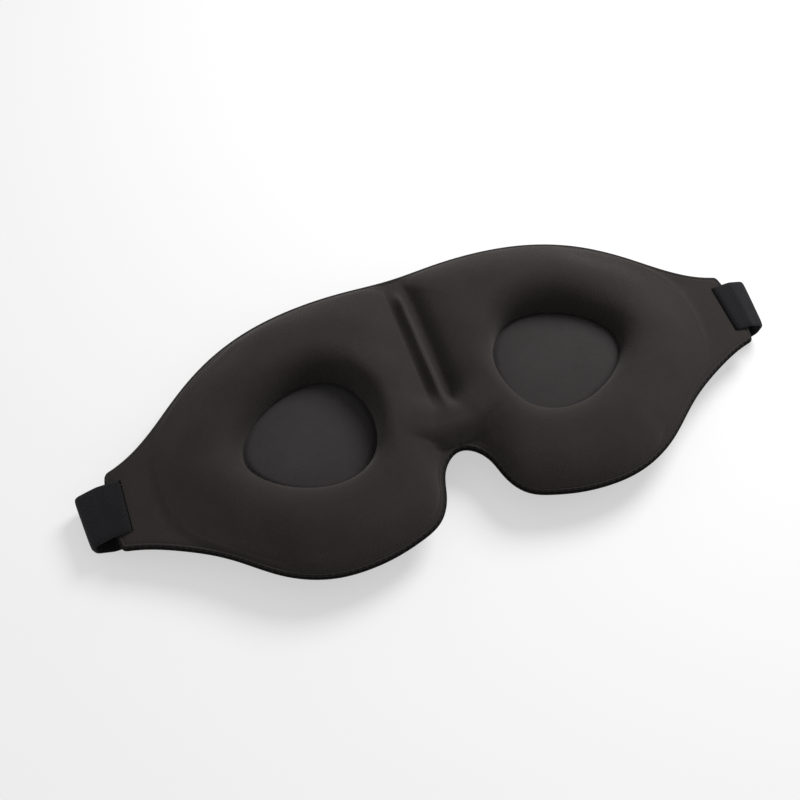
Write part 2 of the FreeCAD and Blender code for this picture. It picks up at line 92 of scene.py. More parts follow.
def closed_spline(points, count):
    """Closed C2 cubic through the points by chord length, as count points: solves for the second
    derivatives m of h0 m0 + 2(h0+h1) m1 + h1 m2 = 6((p2-p1)/h1 - (p1-p0)/h0), round the loop."""
    p = np.array(points)
    q = np.roll(p, -1, 0)
    h = np.linalg.norm(q - p, axis=1)
    before = np.roll(h, 1)
    matrix = np.diag(2 * (before + h)) + np.roll(np.diag(h), 1, 1) + np.roll(np.diag(before), -1, 1)
    slope = (q - p) / h[:, None]
    m = np.linalg.solve(matrix, 6 * (slope - np.roll(slope, 1, 0)))
    knots = np.concatenate([[0], np.cumsum(h)])
    u = np.linspace(0, knots[-1], count, endpoint=False)
    k = np.clip(np.searchsorted(knots, u, side="right") - 1, 0, len(p) - 1)
    a, b = (knots[k + 1] - u) / h[k], (u - knots[k]) / h[k]
    after = np.roll(m, -1, 0)
    bend = ((a ** 3 - a)[:, None] * m[k] + (b ** 3 - b)[:, None] * after[k]) * (h[k] ** 2 / 6)[:, None]
    return a[:, None] * p[k] + b[:, None] * q[k] + bend


def contour_points():
    """Closed spline from the notch along the cheek, round the tab's corners, back along the brow, and the
    same mirrored. A tab's corner passes through a point 0.3 of its size inside the square one."""
    reach, edge, corner, cut = half_length, tab_half_width, tab_corner, 0.3 * tab_corner
    half = [(0.0, -notch_depth)] + [(u * pad_reach, v * cheek_depth) for u, v in reversed(CHEEK_SHAPE)]
    half += [(reach - corner, -edge), (reach - cut, cut - edge), (reach, corner - edge), (reach, 0.0),
             (reach, edge - corner), (reach - cut, edge - cut), (reach - corner, edge)]
    half += [(u * pad_reach, v * brow_height) for u, v in reversed(BROW_SHAPE)]
    return closed_spline(half + [(-x, y) for x, y in reversed(half[1:-1])], 3000)


def inwards(points, inset):
    """The closed outline moved inwards by inset along its own normals."""
    along = np.roll(points, -1, 0) - np.roll(points, 1, 0)
    along /= np.linalg.norm(along, axis=1)[:, None]
    return points + inset * np.stack([-along[:, 1], along[:, 0]], 1)


contour = contour_points()

# Layers: lining, foam and cover make a thin sheet whose tabs hang a little, with an egg-shaped cup each side.
sheet_stack, panel_thickness, floor_thickness = 3.0 * MM, 0.6 * MM, 2.4 * MM
face_plane, dome_depth = 14.0 * MM, 6.4 * MM
floor_top = face_plane - panel_thickness - dome_depth + floor_thickness
tab_droop, droop_start = 2.9 * MM, 60 * MM
cup, cup_half, cup_lean = np.array([44.0, 3.0]) * MM, np.array([22.0, 18.8]) * MM, 0.22


def smooth_step(t):
    """6t^5 - 15t^4 + 10t^3, held at 0 and 1 outside."""
    t = np.clip(t, 0, 1)
    return t * t * t * (t * (6 * t - 15) + 10)


def droop(x):
    """Parabola by which the sheet hangs past droop_start."""
    return tab_droop * (np.maximum(0, np.abs(x) - droop_start) / (half_length - droop_start)) ** 2


def smooth_min(*limits, sharpness=14):
    """(sum of limit^-n)^(-1/n), which rounds the corner where the nearest limit changes."""
    return sum((limit / MM) ** -sharpness for limit in limits) ** (-1 / sharpness) * MM


def cup_edge(turn):
    """Egg: a cos t, b sin t (1 - lean cos t), round the cup's centre."""
    rise = np.sin(turn) * (1 - cup_lean * np.cos(turn))
    return np.stack([cup_half[0] * np.cos(turn), cup_half[1] * rise], -1)


def edge_reach(angle):
    """Distance from the cup's centre to its egg-shaped edge in each direction."""
    edge = cup_edge(np.linspace(-math.pi, math.pi, 2001))
    angles = np.unwrap(np.arctan2(edge[:, 1], edge[:, 0]))
    return np.interp(angle, angles, np.hypot(edge[:, 0], edge[:, 1]), period=2 * math.pi)


def reach_to(outline, angle):
    """Distance from the right cup's centre to a closed outline's right half or the middle line x = 0."""
    half = outline[outline[:, 0] >= 0]
    middle = np.linspace(-notch_depth, middle_brow, 400)
    points = np.concatenate([half, np.stack([np.zeros(400), middle], 1)]) - cup
    angles = np.arctan2(points[:, 1], points[:, 0])
    order = np.argsort(angles)
    angles, distance = angles[order], np.hypot(points[order, 0], points[order, 1])
    angles = np.concatenate([angles - 2 * math.pi, angles, angles + 2 * math.pi])
    return np.interp(angle, angles, np.tile(distance, 3))


# The strap's slot lies in the tab, between two rings of the net that all sheets are laid out on.
slot_in, slot_out, slot_half = 104.4 * MM, 106.0 * MM, 9.05 * MM
ring_shares, slot_blend = (0.92, 0.955), 0.12


def grid_faces(rows, columns, wrap=False):
    """Quads of a rows by columns grid of vertices, closed along the rows if wrap."""
    i, j = np.meshgrid(np.arange(rows if wrap else rows - 1), np.arange(columns - 1), indexing="ij")
    a, b = (i * columns + j).ravel(), (((i + 1) % rows) * columns + j).ravel()
    return np.stack([a, b, b + 1, a + 1], 1)


def polar_net(inner, outline, rays=420, steps=(84, 4, 6)):
    """Rays from the right cup's centre, from inner(angle) to the outline. Two of its rings run at fixed
    shares of each ray and bend over to the slot's long sides, and the quads inside the slot are left out."""
    middle = (slot_in + slot_out) / 2 - cup[0]
    ends = [math.atan2(side * slot_half - cup[1], middle) for side in (-1, 1)]
    angle = np.linspace(-math.pi, math.pi, rays, endpoint=False)
    for end in ends:
        angle[np.argmin(np.abs(angle - end))] = end
    direction = np.stack([np.cos(angle), np.sin(angle)], 1)
    start, finish = inner(angle), reach_to(outline, angle)
    beside = 1 - smooth_step((np.abs(angle - np.mean(ends)) - (ends[1] - ends[0]) / 2) / slot_blend)
    plain = [start + share * (finish - start) for share in ring_shares]
    slot = [(edge - cup[0]) / np.maximum(direction[:, 0], 0.2) for edge in (slot_in, slot_out)]
    first, second = (beside * s + (1 - beside) * p for s, p in zip(slot, plain))
    stops, radius = [start, first, second, finish], []
    for low, high, count in zip(stops, stops[1:], steps):
        radius += [low + (high - low) * i / count for i in range(count)]
    radius = np.stack(radius + [finish], 1)
    quads = grid_faces(rays, radius.shape[1], wrap=True)
    ring, ray = quads[:, 0] % radius.shape[1], quads[:, 0] // radius.shape[1]
    inside = (angle[ray] >= ends[0] - 1e-9) & (angle[ray] < ends[1] - 1e-9)
    hole = inside & (ring >= steps[0]) & (ring < steps[0] + steps[1])
    return angle, direction, radius, quads[~hole]


def mesh_object(name, vertices, faces, material):
    """Smooth object from vertex and quad arrays, with the material on it."""
    mesh = bpy.data.meshes.new(name)
    mesh.vertices.add(len(vertices))
    mesh.vertices.foreach_set("co", np.asarray(vertices, dtype=np.float32).ravel())
    faces = np.asarray(faces, dtype=np.int32)
    mesh.loops.add(faces.size)
    mesh.loops.foreach_set("vertex_index", faces.ravel())
    mesh.polygons.add(len(faces))
    mesh.polygons.foreach_set("loop_start", np.arange(0, faces.size, 4, dtype=np.int32))
    mesh.polygons.foreach_set("loop_total", np.full(len(faces), 4, dtype=np.int32))
    mesh.update(calc_edges=True)
    mesh.validate()
    mesh.polygons.foreach_set("use_smooth", np.full(len(mesh.polygons), True))
    mesh.materials.append(material)
    piece = bpy.data.objects.new(name, mesh)
    bpy.context.collection.objects.link(piece)
    return piece


def both_halves(name, points, quads, material):
    """Right half and its mirror image as one mesh, welded along the middle of the mask."""
    mirror = points * np.array([-1, 1, 1])
    faces = np.concatenate([quads, quads[:, ::-1] + len(points)])
    piece = mesh_object(name, np.concatenate([points, mirror]), faces, material)
    net = bmesh.new()
    net.from_mesh(piece.data)
    seam = [v for v in net.verts if abs(v.co.x) < 0.001 * MM]
    bmesh.ops.remove_doubles(net, verts=seam, dist=0.02 * MM)
    net.to_mesh(piece.data)
    net.free()
    return piece


# Pads: how high the crest stands over the face plane and how far from the cup, and where the foot runs. The
# flank over the bridge is the part of the pad between two leans, in degrees above and below the cup's centre.
crest_height, temple_drop, crest_share = 8.5 * MM, 3.0 * MM, 0.42
crest_reach, bridge_crest_reach = 9.5 * MM, 6.5 * MM
bridge_softness, temple_softness = 0.3, 0.6
foot_radius, foot_centre_x, foot_height, foot_inset = 45.3 * MM, 47.0 * MM, 1.2 * MM, 2.2 * MM
foot_fade = 2.2 * MM
bridge_top, bridge_top_run, bridge_bottom, bridge_bottom_run = 58, 36, 50, 32

# Middle: a valley that rises to a saddle above the notch, with a ridge along it.
valley_height, valley_half, valley_run = 1.7 * MM, 2.5 * MM, 6 * MM
valley_notch_end, valley_notch_run, valley_brow_end, valley_brow_run = 1.5 * MM, 6 * MM, 2.5 * MM, 12 * MM
valley_side, saddle_side, saddle_side_run = 2.4 * MM, 6 * MM, 14 * MM
saddle_rise, saddle_start, saddle_run = 5.0 * MM, 5 * MM, 15 * MM
ridge_rise, ridge_width, ridge_loss = 3.4 * MM, 1.8 * MM, 0.75
ridge_end, ridge_notch_run, ridge_brow_run = 5 * MM, 14 * MM, 9 * MM

# Edge: where the lining turns down, and by how much.
lining_inset, tuck, tuck_run, seam_half = 1.2 * MM, 0.6 * MM, 2.6 * MM, 1 * MM


def above_notch(y):
    """Distance from the notch's edge, on the middle line."""
    return y + notch_depth


def below_brow(y):
    """Distance from the brow's edge, on the middle line."""
    return middle_brow - y


def saddle_share(y):
    """0 along the valley and 1 on the saddle just above the notch."""
    return smooth_step((saddle_start - y) / saddle_run)


def valley(y):
    """Height between the pads, times (1 - (1 - s)^2.2)^0.8 where it falls off to each rim."""
    to_notch = np.clip((above_notch(y) - valley_notch_end) / valley_notch_run, 0, 1)
    to_brow = np.clip((below_brow(y) - valley_brow_end) / valley_brow_run, 0, 1)
    fall = (1 - (1 - to_notch) ** 2.2) ** 0.8 * (1 - (1 - to_brow) ** 2.2) ** 0.8
    return (valley_height + saddle_rise * saddle_share(y)) * fall


def ridge(x, y):
    """Bell-shaped ridge exp(-(x/width)^2) along the middle, dying out on the saddle and towards the brow."""
    along = (smooth_step((above_notch(y) - ridge_end) / ridge_notch_run)
             * smooth_step((below_brow(y) - ridge_end) / ridge_brow_run))
    return ridge_rise * (1 - ridge_loss * saddle_share(y)) * along * np.exp(-(x / ridge_width) ** 2)


def pad_height(t, floor, crest, foot, turn_share, softness):
    """Quarter ellipse from floor to crest, then down to the foot by a mix of the rounded (1 - s^2)^0.8 and
    the soft (1 + cos(pi s))/2."""
    wall = np.clip(1 - t / turn_share, 0, 1)
    flank = np.clip((t - turn_share) / (1 - turn_share), 0, 1)
    up = floor + (crest - floor) * np.sqrt(1 - wall ** 2.2)
    rounded = (1 - flank ** 2) ** 0.8
    down = foot + (crest - foot) * (rounded + softness * ((1 + np.cos(math.pi * flank)) / 2 - rounded))
    return np.where(t < turn_share, up, down)


def foot_reach(angle, direction):
    """Distance from the cup's centre to the pad's foot: the contour, the valley or a circle round the temple,
    whichever is nearest."""
    offset = cup[0] - foot_centre_x
    along = offset * direction[:, 0]
    circle = -along + np.sqrt(along ** 2 - offset ** 2 + foot_radius ** 2)
    return smooth_min(reach_to(inwards(contour, foot_inset), angle),
                      (cup[0] - valley_half) / np.maximum(-direction[:, 0], 1e-3),
                      circle / np.maximum(smooth_step(direction[:, 0] / 0.5), 1e-3))


def pads(foot, direction, radius):
    """Height of the pads over the face plane, with exp(-(d/fade)^2) at a distance d beyond their foot."""
    start = radius[:, 0]
    lean = np.degrees(np.arctan2(direction[:, 1], -direction[:, 0]))
    bridge = (smooth_step((bridge_top - lean) / bridge_top_run)
              * smooth_step((bridge_bottom + lean) / bridge_bottom_run))
    softness = bridge_softness * bridge + temple_softness * smooth_step(direction[:, 0])
    turn_reach = crest_reach + (bridge_crest_reach - crest_reach) * bridge
    share = np.minimum(crest_share, turn_reach / (foot - start))
    crest = crest_height - temple_drop * np.maximum(0, direction[:, 0]) ** 2
    foot_place = cup + direction * foot[:, None]
    beside = 1 - smooth_step((foot_place[:, 0] - valley_half) / valley_run)
    foot_z = np.maximum(foot_height, valley(foot_place[:, 1]) * beside)
    t = (radius - start[:, None]) / (foot - start)[:, None]
    height = pad_height(t, floor_top - face_plane, crest[:, None], foot_z[:, None], share[:, None],
                        softness[:, None])
    beyond = np.maximum(0, radius - foot[:, None])
    return np.where(t < 1, height, foot_z[:, None] * np.exp(-(beyond / foot_fade) ** 2))


def face_surface():
    """Pads on the net, blended into the valley and ridge, then a quarter circle down at the edge."""
    angle, direction, radius, quads = polar_net(edge_reach, inwards(contour, lining_inset))
    place = cup + direction[:, None, :] * radius[:, :, None]
    x, y = place[..., 0], place[..., 1]
    height = pads(foot_reach(angle, direction), direction, radius)
    side = valley_side + saddle_side * smooth_step(-y / saddle_side_run)
    middle = smooth_step((valley_half + side - x) / side)
    height = height * (1 - middle) + valley(y) * middle + ridge(x, y)
    to_edge = np.clip((radius[:, -1:] - radius) / tuck_run, 0, 1)
    to_ends = np.minimum(above_notch(y), below_brow(y)) - lining_inset
    at_seam = smooth_step((seam_half - x[:, -1:]) / seam_half) * smooth_step(to_ends / tuck_run)
    to_edge = to_edge + (1 - to_edge) * at_seam
    height = (height + tuck) * np.sqrt(1 - (1 - to_edge) ** 2) - tuck
    return np.stack([x, y, face_plane + height - droop(x)], -1).reshape(-1, 3), quads


# Handling: one side of the valley is pressed in beside the ridge, and the pads ripple a little.
press_depth, press_x, press_width = 2.6 * MM, 3.8 * MM, 3.0 * MM
lowest_press, press_rounding = 0.3 * MM, 0.5 * MM
press_notch_end, press_brow_end, press_run = 9 * MM, 3 * MM, 11 * MM
ripple_depth, ripple_low, ripple_run = 0.28 * MM, 1.5 * MM, 4 * MM
ripple_lengths = (5.1 * MM, 9.7 * MM, 4.3 * MM, 11.3 * MM)


def handle(piece):
    """Presses the valley in by exp(-((x - x0)/w)^2), though never below lowest_press by the smooth maximum
    (a + sqrt(a^2 + k^2))/2, and adds the ripple sin(x/a + y/b) sin(y/c - x/d) where the pads are raised."""
    place = np.empty(len(piece.data.vertices) * 3, dtype=np.float32)
    piece.data.vertices.foreach_get("co", place)
    place = place.reshape(-1, 3)
    x, y, z = place.T.astype(float)
    window = (smooth_step((above_notch(y) - press_notch_end) / press_run)
              * smooth_step((below_brow(y) - press_brow_end) / press_run))
    share = window * np.exp(-((x - press_x) / press_width) ** 2)
    height = z - face_plane + droop(x)
    above = height - press_depth - lowest_press
    kept = lowest_press + (above + np.hypot(above, press_rounding)) / 2
    raised = smooth_step((height - ripple_low) / ripple_run)
    a, b, c, d = ripple_lengths
    ripple = np.sin(x / a + y / b) * np.sin(y / c - x / d)
    place[:, 2] = z - (height - kept) * share + ripple_depth * raised * ripple
    piece.data.vertices.foreach_set("co", place.ravel())
    piece.data.update()


class Value:
    """A shader socket with arithmetic: an expression on values adds its Math nodes."""

    def __init__(self, shader, socket):
        self.shader, self.socket = shader, socket

    def calculate(self, operation, *terms):
        return self.shader.node("Math", {"operation": operation}, dict(enumerate(terms)))

    def __add__(self, other):
        return self.calculate("ADD", self, other)

    def __sub__(self, other):
        return self.calculate("SUBTRACT", self, other)

    def __mul__(self, other):
        return self.calculate("MULTIPLY", self, other)

    def __radd__(self, other):
        return self.calculate("ADD", other, self)

    def __rsub__(self, other):
        return self.calculate("SUBTRACT", other, self)

    def __rmul__(self, other):
        return self.calculate("MULTIPLY", other, self)

    def sine(self):
        return self.calculate("SINE", self)

    def absolute(self):
        return self.calculate("ABSOLUTE", self)

    def maximum(self, other):
        return self.calculate("MAXIMUM", self, other)

    def smooth(self, low, high):
        """0 up to low and 1 from high, with a smooth step between."""
        return self.shader.node("MapRange", {"interpolation_type": "SMOOTHSTEP"},
                                {"Value": self, "From Min": low, "From Max": high})


class Shader:
    """A node tree. Every node comes from one method."""

    def __init__(self, tree):
        self.tree = tree

    def join(self, value, socket):
        """Links a value to a socket, or sets the socket to a plain number or colour."""
        if isinstance(value, Value):
            self.tree.links.new(value.socket, socket)
        else:
            socket.default_value = value

    def node(self, kind, settings=None, sockets=None, output=0):
        """Makes a node of a type, with its settings first and then its sockets, and returns one output."""
        node = self.tree.nodes.new("ShaderNode" + kind)
        for name, value in (settings or {}).items():
            setattr(node, name, value)
        for name, value in (sockets or {}).items():
            self.join(value, node.inputs[name])
        return Value(self, node.outputs[output])

    def split(self, vector):
        """The three coordinates of a vector."""
        return [self.node("SeparateXYZ", None, {"Vector": vector}, axis) for axis in range(3)]


class Finish(Shader):
    """One material: a Principled shader, with the few patterns that cloth and plastic need."""

    def __init__(self, name, roughness, sheen=0.0, sheen_tint=(1, 1, 1), specular=0.3):
        self.material = bpy.data.materials.new(name)
        self.material.use_nodes = True
        super().__init__(self.material.node_tree)
        self.principled = self.tree.nodes["Principled BSDF"]
        self.join(roughness, self.principled.inputs["Roughness"])
        self.join(sheen, self.principled.inputs["Sheen Weight"])
        self.join(0.45, self.principled.inputs["Sheen Roughness"])
        self.join((*sheen_tint, 1), self.principled.inputs["Sheen Tint"])
        self.join(specular, self.principled.inputs["Specular IOR Level"])

    def place(self):
        """Object coordinates."""
        return self.node("TexCoord", output="Object")

    def attribute(self, name):
        """The three numbers of a mesh's own vector attribute."""
        return self.split(self.node("Attribute", {"attribute_name": name}, output="Vector"))

    def noise(self, scale, detail=3.0):
        """Soft noise from 0 to 1, with about scale patches to the metre."""
        return self.node("TexNoise", None, {"Vector": self.place(), "Scale": scale, "Detail": detail})

    def colour(self, dark, light, share):
        """Base colour from dark to light by share."""
        mixed = self.node("Mix", {"data_type": "RGBA"}, {0: share, 6: (*dark, 1), 7: (*light, 1)}, 2)
        self.join(mixed, self.principled.inputs["Base Color"])

    def bump(self, height, depth):
        """Relief of height 0 to 1 times depth."""
        normal = self.node("Bump", None, {"Height": height, "Distance": depth, "Strength": 1.0})
        self.join(normal, self.principled.inputs["Normal"])


CLOTH_SHEEN, CLOTH_SPECULAR = (0.9, 0.86, 0.84), 0.08


def wave(length):
    """Turns distance into the angle of a wave of this length."""
    return 2 * math.pi / length


def knit(name, dark, light, roughness):
    """Fine jersey: rows of loops 0.6 mm wide and 0.45 mm high, with a soft uneven tone."""
    finish = Finish(name, roughness, 0.12, CLOTH_SHEEN, CLOTH_SPECULAR)
    x, y, z = finish.split(finish.place())
    across, along = x * wave(0.6 * MM), (y + z * 0.7) * wave(0.45 * MM)
    sag = (across * 0.5).sine().absolute() * 1.8
    loops = (across.sine() * 0.5 + 0.5) * ((sag + along).sine() * 0.5 + 0.5)
    tone = finish.noise(55.0) * 0.6 + finish.noise(420.0) * 0.3 + loops * 0.18
    finish.colour(dark, light, tone)
    finish.bump(loops * 0.7 + finish.noise(1400.0, 4.0) * 0.6, 0.12 * MM)
    return finish.material


lining_knit = knit("lining_knit", (0.0215, 0.0188, 0.0175), (0.038, 0.0333, 0.0315), 0.9)
face_points, face_quads = face_surface()
face = both_halves("face_lining", face_points, face_quads, lining_knit)
handle(face)
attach(face, "mask")
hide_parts("face_panel", "pad_cover_left", "pad_cover_right", "nose_bridge_cover", "eye_pad_foam_left",
            "eye_pad_foam_right", "nose_bridge_foam")


# --- Edge band ---------------------------------------------------------------------------------------------
# Lining and outer cover meet in two rolled lips, overlocked together with near-black thread. The cover's lip
# stands out a little further than the lining's, with a stitched groove between them. Their near black is
# partly that thread and partly painted shade in the groove and under the upper lip.
LIPS = [(1.9, -0.6), (1.45, -0.12), (1.05, -0.02), (0.68, -0.12), (0.5, -0.45), (0.62, -0.82), (0.95, -1.1),
        (0.5, -1.28), (0.12, -1.4), (-0.05, -1.75), (0.1, -2.15), (0.5, -2.4), (1.2, -2.45), (1.8, -2.3),
        (2.1, -1.4)]
groove_shade_start, groove_shade_full, lip_outside, lip_inside = 0.08 * MM, 0.4 * MM, 0.7 * MM, 1.05 * MM
stitch_pitch = 2.1 * MM


def edge_material():
    """Lining colour on the upper lip, near black in the groove and on the cover's lip below it: partly the
    dark thread and partly painted shade.
    """
    finish = Finish("edge_band", 0.88, 0.12, CLOTH_SHEEN, CLOTH_SPECULAR)
    along, depth, inset = finish.attribute("lip")
    thread = (along * wave(stitch_pitch)).sine() * 0.5 + 0.5
    # Painted shade: near black from the groove down and over the outer roll, broken by the thread's dashes.
    dark = depth.smooth(groove_shade_start, groove_shade_full).maximum(1 - inset.smooth(lip_outside, lip_inside))
    finish.colour((0.030, 0.027, 0.026), (0.006, 0.005, 0.005), dark * (thread * 0.2 + 0.8))
    finish.bump(thread * dark + finish.noise(1500.0) * 0.4, 0.16 * MM)
    return finish.material


def section_points(corners, count):
    """Closed smooth section from corners in millimetres."""
    return closed_spline(np.array(corners) * MM, count)


def swept_band(name, outline, section, material):
    """A closed section of (inset, height) points carried round the outline, hanging with the sheet. Its lip
    attribute holds the length along the outline, the depth below the face plane and the inset."""
    rows = [np.column_stack([inwards(outline, inset), face_plane + height - droop(outline[:, 0])])
            for inset, height in section]
    points = np.stack(rows, 1).reshape(-1, 3)
    columns = len(section)
    i, j = np.meshgrid(np.arange(len(outline)), np.arange(columns), indexing="ij")
    here, after, beside = i * columns, (i + 1) % len(outline) * columns, (j + 1) % columns
    quads = np.stack([here + j, after + j, after + beside, here + beside], -1)
    piece = mesh_object(name, points, quads.reshape(-1, 4), material)
    steps = np.linalg.norm(np.roll(outline, -1, 0) - outline, axis=1)
    along = np.repeat(np.cumsum(steps), columns)
    inset, depth = (np.tile(column, len(outline)) for column in (np.array(section) * (1, -1)).T)
    lip = piece.data.attributes.new("lip", "FLOAT_VECTOR", "POINT")
    lip.data.foreach_set("vector", np.stack([along, depth, inset], 1).astype(np.float32).ravel())
    return piece


edge_finish = edge_material()
band = swept_band("edge_band", contour[::2], section_points(LIPS, 28), edge_finish)
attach(band, "mask")
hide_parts("edge_binding")


# --- Outer cover -------------------------------------------------------------------------------------------
# The side away from the face: one smooth knit moulded over two shallow domes that keep clear of the eyes.
# It is glued to the foam shell, and its edge is turned up into the edge band.
outer_knit = knit("outer_knit", (0.022, 0.020, 0.020), (0.040, 0.037, 0.036), 0.88)
rim_bottom = face_plane - sheet_stack
dome_half, dome_shift, dome_flat = np.array([38.0, 36.0]) * MM, 2.0 * MM, 0.62
cover_inset, dome_pole = 1.0 * MM, 0.3 * MM


def underside(x, y):
    """Rim height less the dome: full inside dome_flat of its ellipse and none at its edge."""
    radius = np.hypot((np.abs(x) - cup[0] - dome_shift) / dome_half[0], (y - cup[1]) / dome_half[1])
    bulge = dome_depth * (1 - smooth_step((radius - dome_flat) / (1 - dome_flat)))
    return rim_bottom - bulge - droop(x)


def cover_surface():
    """The underside on a net that starts from a small ring at each dome's pole, facing down."""
    _, direction, radius, quads = polar_net(lambda angle: np.full(angle.shape, dome_pole),
                                            inwards(contour, cover_inset), 360, (70, 4, 6))
    place = cup + direction[:, None, :] * radius[:, :, None]
    x, y = place[..., 0], place[..., 1]
    return np.stack([x, y, underside(x, y)], -1).reshape(-1, 3), quads[:, ::-1]


def close_holes(piece, longest):
    """Fills each small ring of open edges, such as the middle of a polar net."""
    net = bmesh.new()
    net.from_mesh(piece.data)
    open_edges = [e for e in net.edges if e.is_boundary and e.calc_length() < longest]
    bmesh.ops.holes_fill(net, edges=open_edges)
    net.to_mesh(piece.data)
    net.free()


cover_points, cover_quads = cover_surface()
cover = both_halves("outer_cover_knit", cover_points, cover_quads, outer_knit)
close_holes(cover, 0.02 * MM)
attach(cover, "mask")
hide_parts("outer_cover")


# --- Slot edges --------------------------------------------------------------------------------------------
# Each strap slot is a stitched slit through the tab. The lining turns down into it, over dark thread, as far
# as the outer cover. The edge band's material paints this turned-down edge near black all round: partly the
# thread and partly painted shade inside the slit.
SLOT_SECTION = [(-0.5, -0.12), (-0.2, 0.03), (0.08, -0.12), (0.14, -0.8), (0.1, -1.6), (0.14, -2.4),
                (0.08, -2.95), (-0.2, -3.1), (-0.5, -2.9), (-0.6, -1.5)]
slot_corner = 0.7 * MM


def rounded_box(half_x, half_y, corner, centre_x):
    """Rectangle with quarter-circle corners, anticlockwise, with its long sides cut into short steps."""
    signs = np.array([(1, 1), (-1, 1), (-1, -1), (1, -1)])
    turn = np.arange(4)[:, None] * math.pi / 2 + np.linspace(0, math.pi / 2, 7)
    centres = signs * np.array([half_x - corner, half_y - corner])
    arcs = centres[:, None] + corner * np.stack([np.cos(turn), np.sin(turn)], -1)
    down = (half_y - corner) * np.linspace(1, -1, 13)[1:-1]
    side = np.column_stack([np.full(len(down), -half_x), down])
    return np.concatenate([arcs[0], arcs[1], side, arcs[2], arcs[3], -side]) + np.array([centre_x, 0])


def slot_edge(name, side):
    """The rolled edge's section carried round the slit of one tab."""
    middle, half_width = (slot_in + slot_out) / 2, (slot_out - slot_in) / 2
    outline = rounded_box(half_width, slot_half, slot_corner, side * middle)
    piece = swept_band(name, outline, section_points(SLOT_SECTION, 20), edge_finish)
    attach(piece, "mask")


slot_edge("left_slot_edge", -1)
slot_edge("right_slot_edge", 1)


# --- Cup floors --------------------------------------------------------------------------------------------
# Thin knit on a disc of foam at the bottom of each cup. It crowns slightly, and its edge tucks under the
# pad's wall, which leaves a dark crease all round.
floor_knit = knit("cup_floor_knit", (0.032, 0.029, 0.029), (0.054, 0.050, 0.050), 0.92)
floor_lift, floor_crown, floor_tuck = 0.1 * MM, 0.9 * MM, 1.1 * MM
floor_pole, tuck_share, floor_share = 0.01, 0.9, 1.035


def cup_floor(name, side, spokes=200, rings=34):
    """Rings of the cup's egg at growing shares s, at height crown (1 - s^2) less the tuck at the edge."""
    share = np.linspace(floor_pole, floor_share, rings)
    edge = cup_edge(np.linspace(0, 2 * math.pi, spokes, endpoint=False))
    flat = cup + share[None, :, None] * edge[:, None, :]
    crown = floor_crown * (1 - np.minimum(share, 1) ** 2)
    tucked = floor_tuck * smooth_step((share - tuck_share) / (floor_share - tuck_share))
    height = floor_top + floor_lift + crown - tucked - droop(flat[..., 0])
    points = np.stack([side * flat[..., 0], flat[..., 1], height], -1).reshape(-1, 3)
    faces = grid_faces(spokes, rings, wrap=True)
    piece = mesh_object(name, points, faces[:, ::-1] if side > 0 else faces, floor_knit)
    close_holes(piece, 0.05 * MM)
    return piece


for side, word in ((-1, "left"), (1, "right")):
    piece = cup_floor(word + "_cup_floor", side)
    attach(piece, "mask")
    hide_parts("cup_floor_" + word)


# --- Strap -------------------------------------------------------------------------------------------------
# Black elastic webbing, 18 mm wide. Each half loops through its tab's slot, is sewn to itself, runs in to a
# corner and lies folded under the mask. The left half ends round the slider, and the right half slides
# through it and ends in a folded hem.
strap_half_width, strap_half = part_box("strap_right_rear")[1][1], 0.6 * MM
bar_x = 107.5 * MM
arm_length, bend_half = 34.0 * MM, 3.0 * MM
corner_x = bar_x - arm_length
lower, lowest = 3.6 * MM, 2.1 * MM
seam_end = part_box("strap_right_stitches")[0][0] - 1.3 * MM
bend, tight, snug_bend, hem_bend = 3.0 * MM, 2.0 * MM, 0.9 * MM, 0.59 * MM
left_reach, right_reach, loop_drop, bar_gap = 12.0 * MM, 9.5 * MM, 3.0 * MM, 0.08 * MM
rib_width, pick_length = 0.9 * MM, 0.7 * MM


def loop_corners(reach):
    """Corners (x, z, radius) of a right tab loop, from its sewn end, pulled snug round the bar, and in along
    the arm."""
    seam = lower + 2 * strap_half
    snug = sheet_stack / 2 + strap_half + bar_gap
    lift = bar_x - snug
    over = face_plane - sheet_stack / 2 - droop(bar_x) + snug
    return [(seam_end, seam, 0), (lift - bend, seam, tight), (lift, seam + bend, tight),
            (lift, over, snug_bend), (bar_x + 0.35 * reach, over, bend),
            (bar_x + reach, over - loop_drop, bend), (bar_x + reach - strap_half, strap_half + bend, tight),
            (bar_x + 0.55 * reach, strap_half, bend), (bar_x - 2 * MM, strap_half, bend),
            (bar_x - 8 * MM, lower, bend)]


def centre_line(corners, spacing=0.55 * MM):
    """Straight runs joined by tangent arcs, each starting radius * tan(turn / 2) before its corner, as points
    at equal distances, and the distance travelled at each."""
    path = np.array([corner[:2] for corner in corners])
    runs = [path[:1]]
    for before, here, after, corner in zip(path, path[1:], path[2:], corners[1:]):
        into = (here - before) / np.linalg.norm(here - before)
        out = (after - here) / np.linalg.norm(after - here)
        turn = math.atan2(into[0] * out[1] - into[1] * out[0], into @ out)
        first = here - into * corner[2] * math.tan(abs(turn) / 2)
        centre = first + np.array([-into[1], into[0]]) * math.copysign(corner[2], turn)
        spoke = first - centre
        angle = np.linspace(0, turn, 9)[:, None]
        runs.append(centre + spoke * np.cos(angle) + np.array([-spoke[1], spoke[0]]) * np.sin(angle))
    points = np.concatenate(runs + [path[-1:]])
    travel = np.concatenate([[0], np.cumsum(np.linalg.norm(np.diff(points, axis=0), axis=1))])
    stops = np.linspace(0, travel[-1], int(travel[-1] / spacing))
    return np.column_stack([np.interp(stops, travel, points[:, i]) for i in (0, 1)]), stops


